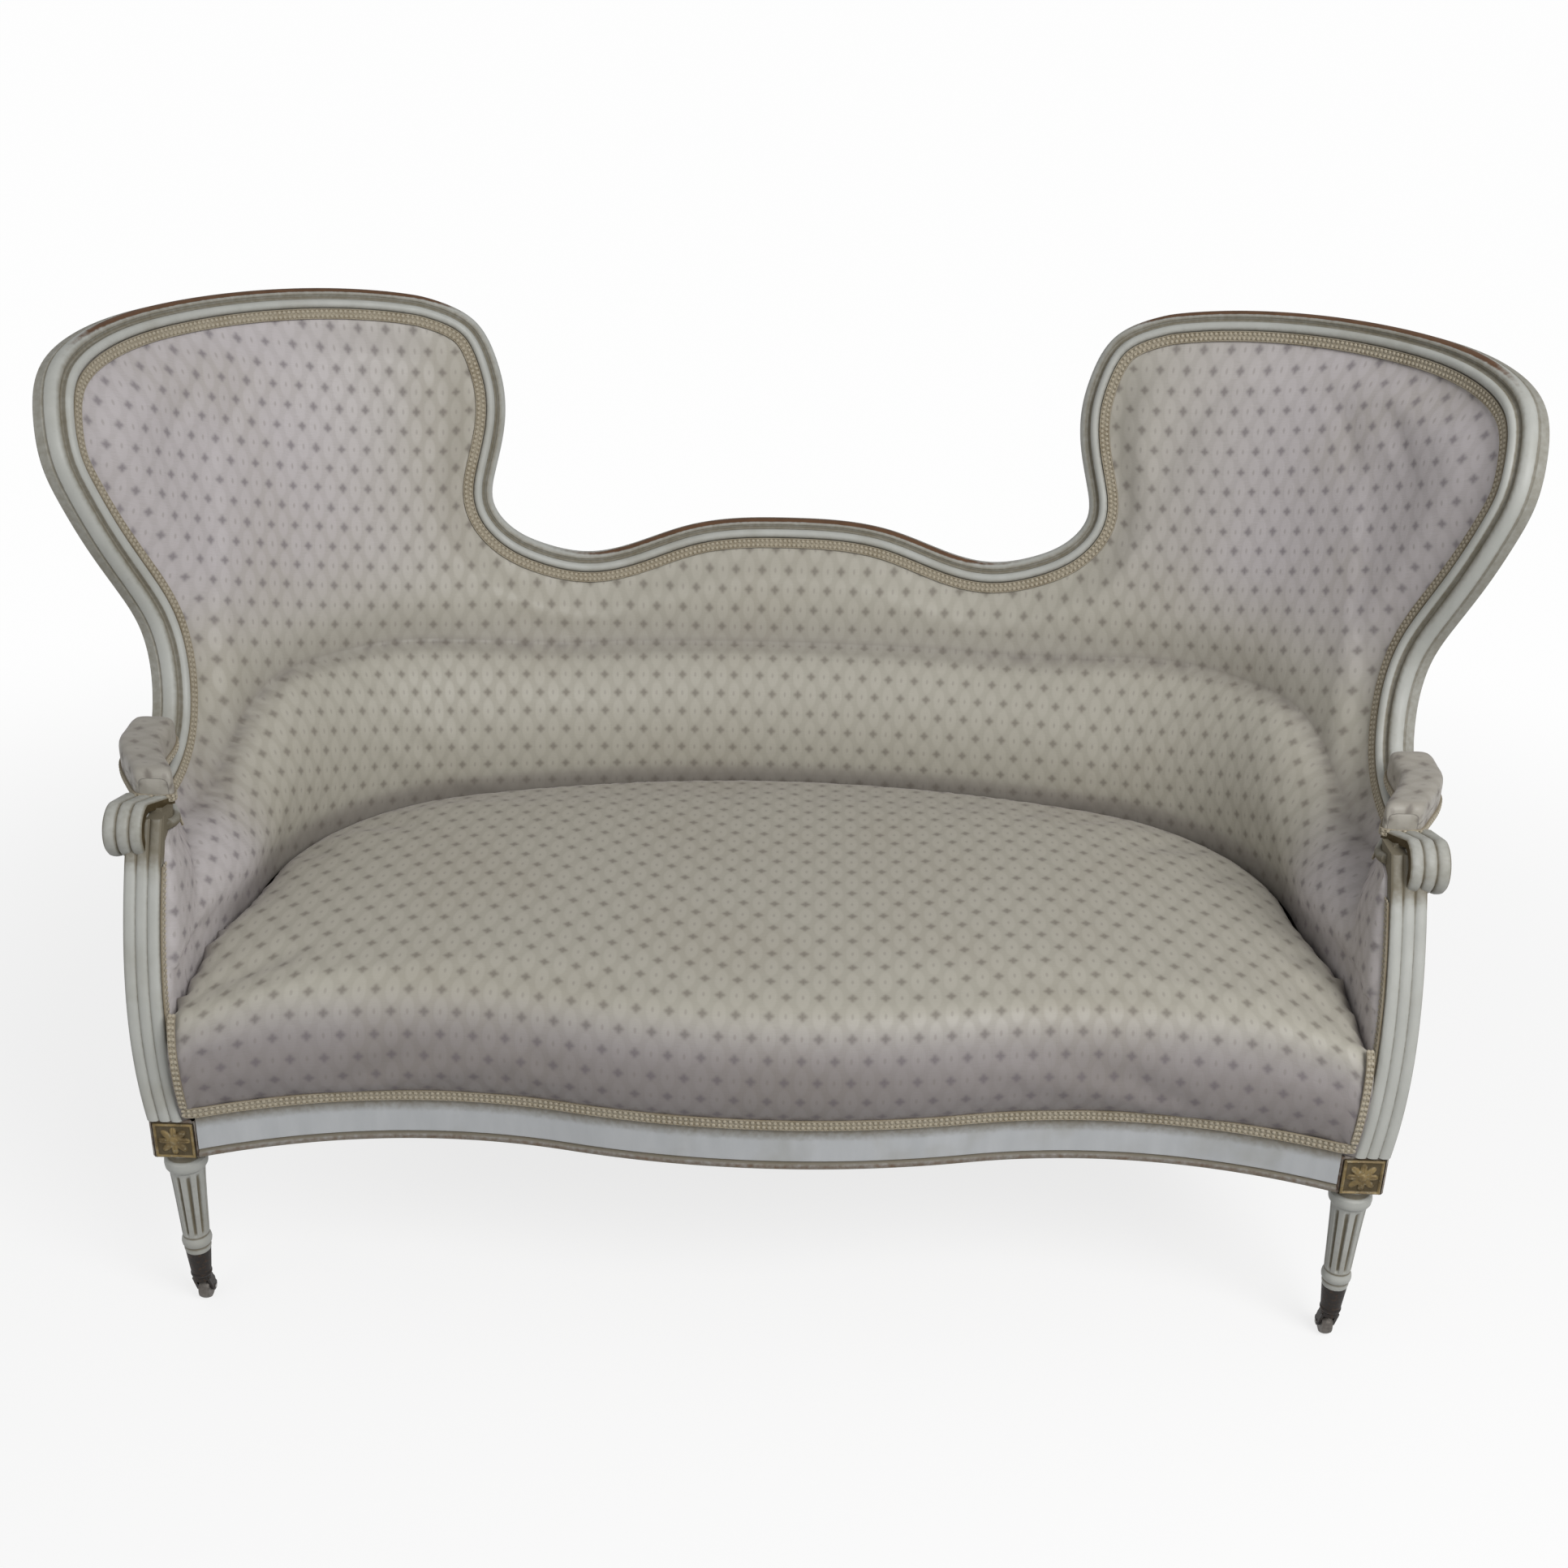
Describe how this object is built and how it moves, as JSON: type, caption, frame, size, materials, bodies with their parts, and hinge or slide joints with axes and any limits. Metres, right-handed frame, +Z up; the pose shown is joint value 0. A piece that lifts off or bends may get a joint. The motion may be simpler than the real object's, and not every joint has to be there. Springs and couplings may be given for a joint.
{
  "type": "sofa",
  "caption": "Spoonback sofa with a painted show-wood frame, padded tub back with raised wings, scrolled arms, serpentine seat front and fluted front legs on swivel casters.",
  "frame": {"origin": "floor level, in the middle of the overall length and depth", "axes": "+X along the seat to the sitter's left, +Y to the back, +Z up"},
  "size_m": [1.6552, 0.7895, 1.0301],
  "materials": {
    "painted_wood": "aged grey-white paint, worn to brown wood on the high edges",
    "stained_wood": "dark stained beech",
    "frame_wood": "plain unfinished beech",
    "gilded_wood": "worn gilding over carved wood",
    "caster_iron": "blackened iron",
    "caster_wheel": "worn grey metal",
    "steel": "plain drawn steel",
    "braid": "woven gimp braid with beaded edge",
    "webbing": "jute webbing",
    "hessian": "hessian",
    "stuffing": "curled hair stuffing",
    "damask": "pale satin damask with small star sprigs"
  },
  "bodies": {
    "frame": {"arm_left": "painted_wood", "arm_pad_braid": "braid", "arm_pad_left": "damask", "arm_pad_right": "damask", "arm_post_left": "painted_wood", "arm_post_right": "painted_wood", "arm_right": "painted_wood", "back_leg_left": "stained_wood", "back_leg_right": "stained_wood", "back_rail": "frame_wood", "back_tack_rail": "frame_wood", "back_upright_left": "frame_wood", "back_upright_right": "frame_wood", "caster_cup_left": "caster_iron", "caster_cup_right": "caster_iron", "centre_crest": "painted_wood", "corner_block_screws": "steel", "corner_blocks": "frame_wood", "crest_braid": "braid", "dust_cover": "hessian", "dust_cover_tacks": "steel", "front_leg_left": "painted_wood", "front_leg_right": "painted_wood", "front_rail": "painted_wood", "inner_swoop_left": "painted_wood", "inner_swoop_right": "painted_wood", "lower_back_roll": "damask", "outer_stile_left": "painted_wood", "outer_stile_right": "painted_wood", "outside_back_cover": "damask", "outside_crest_cover": "damask", "outside_wing_cover_left": "damask", "outside_wing_cover_right": "damask", "post_braid": "braid", "rosettes": "gilded_wood", "seat_braid": "braid", "seat_cover": "damask", "seat_springs": "steel", "seat_stuffing": "stuffing", "side_rail_left": "frame_wood", "side_rail_right": "frame_wood", "side_roll_left": "damask", "side_roll_right": "damask", "spring_canvas": "hessian", "upper_back_pad": "damask", "webbing_front_to_back": "webbing", "webbing_side_to_side": "webbing", "wing_braid": "braid", "wing_crest_left": "painted_wood", "wing_crest_right": "painted_wood", "wing_pad_left": "damask", "wing_pad_right": "damask", "wing_upright_left": "frame_wood", "wing_upright_right": "frame_wood"},
    "caster_horn_right": {"caster_horn_right": "caster_iron", "caster_axle_right": "steel"},
    "caster_wheel_right": {"caster_wheel_right": "caster_wheel"},
    "caster_horn_left": {"caster_horn_left": "caster_iron", "caster_axle_left": "steel"},
    "caster_wheel_left": {"caster_wheel_left": "caster_wheel"}
  },
  "joints": [
    {"name": "caster_swivel_right", "type": "hinge", "parent": "frame", "child": "caster_horn_right", "pos_m": [0.64, -0.3623, 0.04], "axis": [0, 0, 1], "continuous": true},
    {"name": "caster_roll_right", "type": "hinge", "parent": "caster_horn_right", "child": "caster_wheel_right", "pos_m": [0.64, -0.3523, 0.014], "axis": [1, 0, 0], "continuous": true},
    {"name": "caster_swivel_left", "type": "hinge", "parent": "frame", "child": "caster_horn_left", "pos_m": [-0.64, -0.3623, 0.04], "axis": [0, 0, 1], "continuous": true},
    {"name": "caster_roll_left", "type": "hinge", "parent": "caster_horn_left", "child": "caster_wheel_left", "pos_m": [-0.64, -0.3523, 0.014], "axis": [1, 0, 0], "continuous": true}
  ]
}
